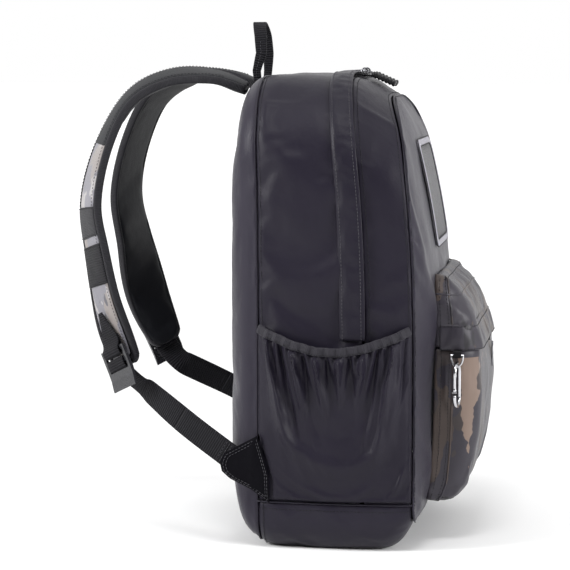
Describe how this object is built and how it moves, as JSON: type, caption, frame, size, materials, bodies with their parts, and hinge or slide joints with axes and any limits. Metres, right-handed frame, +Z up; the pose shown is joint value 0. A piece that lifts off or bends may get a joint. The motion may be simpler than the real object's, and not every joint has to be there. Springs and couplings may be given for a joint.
{
  "type": "tackle backpack",
  "caption": "Standing daypack for fishing tackle with a zipped fold-down lid, hooded front pocket, side pockets, padded shoulder straps and a clip.",
  "frame": {"origin": "centre of the flat underside of the base, on the plane of symmetry of the bag", "axes": "+Z up along the bag's height, -Y out of the front with the pocket, +Y out of the padded back, -X the wearer's left"},
  "size_m": [0.3412, 0.4175, 0.514],
  "materials": {
    "body_cloth": "woven, matt",
    "padded_mesh": "spacer mesh, matt",
    "lining_cloth": "plain weave",
    "foam": "closed-cell foam",
    "base_board_plastic": "sheet",
    "zip_tape": "knitted tape",
    "camo_cloth": "printed satin weave",
    "binding": "tape",
    "loop_pile": "loop pile",
    "webbing": "ribbed webbing",
    "acetal": "moulded",
    "pull_rubber": "moulded, ribbed",
    "plated_steel": "polished"
  },
  "bodies": {
    "bag_body": {"back_cover": "padded_mesh", "back_foam": "foam", "back_lining": "lining_cloth", "base_board": "base_board_plastic", "base_panel": "body_cloth", "rear_gusset": "body_cloth", "front_gusset_left": "body_cloth", "front_gusset_right": "body_cloth", "front_panel_lower": "body_cloth", "storm_flap": "body_cloth", "zip_tape_rear": "zip_tape", "side_pocket_left": "body_cloth", "side_pocket_right": "body_cloth", "pocket_hem_left": "binding", "pocket_hem_right": "binding", "front_pocket_body": "camo_cloth", "front_pocket_hood": "camo_cloth", "front_pocket_flap": "camo_cloth", "front_pocket_zip": "zip_tape", "ring_tab": "webbing", "d_ring": "plated_steel", "strap_yoke_left": "body_cloth", "strap_yoke_right": "body_cloth", "strap_anchor_left": "webbing", "strap_anchor_right": "webbing"},
    "lid": {"lid_panel": "body_cloth", "lid_gusset": "body_cloth", "zip_tape_front": "zip_tape", "patch_frame": "binding", "patch_field": "loop_pile"},
    "zip_slider_left": {"main_slider_left": "plated_steel"},
    "zip_slider_right": {"main_slider_right": "plated_steel"},
    "zip_pull_left": {"main_pull_left": "pull_rubber"},
    "zip_pull_right": {"main_pull_right": "pull_rubber"},
    "pocket_zip_slider": {"pocket_slider": "plated_steel"},
    "pocket_zip_pull": {"pocket_pull": "plated_steel"},
    "carry_loop": {"haul_loop": "webbing"},
    "carabiner": {"carabiner_body": "plated_steel", "gate_pin": "plated_steel"},
    "gate": {"carabiner_gate": "plated_steel"},
    "strap_left": {"strap_pad_left": "padded_mesh", "strap_face_left": "camo_cloth", "strap_band_upper_left": "binding", "strap_band_lower_left": "webbing", "buckle_tab_left": "webbing", "strap_webbing_left": "webbing"},
    "buckle_left": {"ladder_lock_left": "acetal", "webbing_wrap_left": "webbing"},
    "strap_right": {"strap_pad_right": "padded_mesh", "strap_face_right": "camo_cloth", "strap_band_upper_right": "binding", "strap_band_lower_right": "webbing", "buckle_tab_right": "webbing", "strap_webbing_right": "webbing"},
    "buckle_right": {"ladder_lock_right": "acetal", "webbing_wrap_right": "webbing"}
  },
  "joints": [
    {"name": "lid_fold", "type": "hinge", "parent": "bag_body", "child": "lid", "pos_m": [0, -0.1015, 0.279], "axis": [1, 0, 0], "range_deg": [0, 45]},
    {"name": "slider_left_run", "type": "slide", "parent": "lid", "child": "zip_slider_left", "axis": [-1, 0, 0], "range_m": [0, 0.034]},
    {"name": "slider_right_run", "type": "slide", "parent": "lid", "child": "zip_slider_right", "axis": [1, 0, 0], "range_m": [0, 0.034]},
    {"name": "pull_left_swing", "type": "hinge", "parent": "zip_slider_left", "child": "zip_pull_left", "pos_m": [-0.01, -0.0208, 0.4646], "axis": [-1, 0, 0], "range_deg": [0, 140]},
    {"name": "pull_right_swing", "type": "hinge", "parent": "zip_slider_right", "child": "zip_pull_right", "pos_m": [0.01, -0.0208, 0.4646], "axis": [-1, 0, 0], "range_deg": [0, 140]},
    {"name": "pocket_slider_run", "type": "slide", "parent": "bag_body", "child": "pocket_zip_slider", "axis": [1, 0, 0], "range_m": [-0.11, 0.022]},
    {"name": "pocket_pull_swing", "type": "hinge", "parent": "pocket_zip_slider", "child": "pocket_zip_pull", "pos_m": [0.045, -0.148, 0.185], "axis": [-1, 0, 0], "range_deg": [0, 70]},
    {"name": "carry_loop_fold", "type": "hinge", "parent": "bag_body", "child": "carry_loop", "pos_m": [0, 0.0865, 0.461], "axis": [1, 0, 0], "range_deg": [-35, 45], "stiffness_Nm_per_rad": 0.01},
    {"name": "carabiner_swing", "type": "hinge", "parent": "bag_body", "child": "carabiner", "pos_m": [-0.1125, -0.124, 0.1786], "axis": [0.1736, 0.9848, 0], "range_deg": [0, 50]},
    {"name": "gate_hinge", "type": "hinge", "parent": "carabiner", "child": "gate", "pos_m": [-0.12146, -0.12242, 0.1546], "axis": [0.1736, 0.9848, 0], "range_deg": [0, 20], "stiffness_Nm_per_rad": 0.02, "springref_deg": -5.73},
    {"name": "strap_left_swing", "type": "hinge", "parent": "bag_body", "child": "strap_left", "pos_m": [-0.045, 0.0885, 0.447], "axis": [0.2776, 0.0013, 0.9607], "range_deg": [-2, 16]},
    {"name": "strap_right_swing", "type": "hinge", "parent": "bag_body", "child": "strap_right", "pos_m": [0.045, 0.0885, 0.447], "axis": [0.2776, -0.0013, -0.9607], "range_deg": [-2, 16]},
    {"name": "buckle_left_tilt", "type": "hinge", "parent": "strap_left", "child": "buckle_left", "pos_m": [-0.10217, 0.22099, 0.18674], "axis": [0.527, 0.7519, -0.3962], "range_deg": [0, 20]},
    {"name": "buckle_right_tilt", "type": "hinge", "parent": "strap_right", "child": "buckle_right", "pos_m": [0.10217, 0.22099, 0.18674], "axis": [0.527, -0.7519, 0.3962], "range_deg": [0, 20]}
  ]
}
